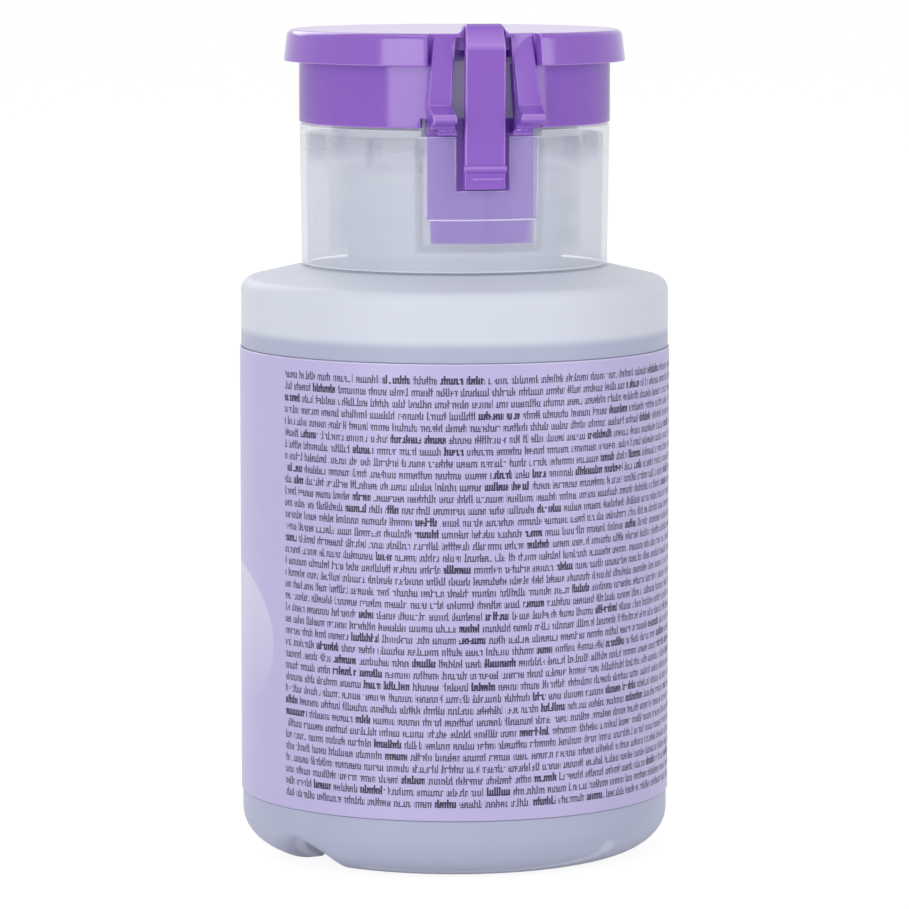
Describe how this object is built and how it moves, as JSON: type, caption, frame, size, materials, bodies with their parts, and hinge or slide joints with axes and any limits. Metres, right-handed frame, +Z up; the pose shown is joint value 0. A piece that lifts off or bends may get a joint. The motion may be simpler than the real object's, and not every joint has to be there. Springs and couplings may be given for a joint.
{
  "type": "nail polish remover pump",
  "caption": "Frosted round bottle with a press-down pump dish under a flip lid on a snap hinge, screwed on by a translucent collar.",
  "frame": {"origin": "centre of the bottle's base, on the plane it stands on", "axes": "+Z up along the bottle's axis, +Y towards the lid's hinge, -Y towards the product's front"},
  "size_m": [0.0604, 0.0604, 0.1169],
  "materials": {
    "frosted_bottle": "satin",
    "lilac_label": "satin",
    "remover": "gloss",
    "frosted_collar": "satin",
    "purple_plastic": "satin",
    "natural_plastic": "satin",
    "white_plastic": "satin",
    "white_foam": "matte",
    "black_rubber": "matte",
    "spring_steel": "satin",
    "ball_steel": "polished",
    "ball_glass": "gloss"
  },
  "bodies": {
    "bottle": {"bottle": "frosted_bottle", "wrap_label": "lilac_label", "remover_liquid": "remover"},
    "pump": {"pump_housing": "white_plastic", "housing_cap": "white_plastic", "stem_wiper": "black_rubber", "neck_gasket": "white_foam", "ball_cage": "white_plastic", "dip_tube": "natural_plastic", "return_spring": "spring_steel"},
    "inlet_valve": {"inlet_ball": "ball_steel"},
    "plunger": {"dish": "natural_plastic", "plunger_stem": "white_plastic", "piston": "white_plastic", "outlet_plug": "natural_plastic"},
    "outlet_valve": {"outlet_ball": "ball_glass"},
    "closure": {"collar": "frosted_collar", "hinge_insert": "purple_plastic"},
    "lid": {"lid": "purple_plastic", "snap_strap": "purple_plastic"}
  },
  "joints": [
    {"name": "closure_lift", "type": "slide", "parent": "bottle", "child": "pump", "axis": [0, 0, 1], "range_m": [0, 0.00467]},
    {"name": "closure_turn", "type": "hinge", "parent": "pump", "child": "closure", "pos_m": [0, 0, 0.08285], "axis": [0, 0, 1], "range_deg": [0, 400]},
    {"name": "dish_press", "type": "slide", "parent": "pump", "child": "plunger", "axis": [0, 0, -1], "range_m": [0, 0.005], "stiffness_N_per_m": 600, "springref_m": -0.004, "deforming": ["return_spring"]},
    {"name": "lid_hinge", "type": "hinge", "parent": "closure", "child": "lid", "pos_m": [0, 0.0232, 0.10245], "axis": [-1, 0, 0], "range_deg": [0, 120], "deforming": ["snap_strap"]},
    {"name": "inlet_ball_lift", "type": "slide", "parent": "pump", "child": "inlet_valve", "axis": [0, 0, 1], "range_m": [0, 0.0012]},
    {"name": "outlet_ball_lift", "type": "slide", "parent": "plunger", "child": "outlet_valve", "axis": [0, 0, 1], "range_m": [0, 0.001]}
  ],
  "couplings": [
    {"joint": "closure_turn", "follows": "closure_lift", "rad_per_m": 1496}
  ]
}
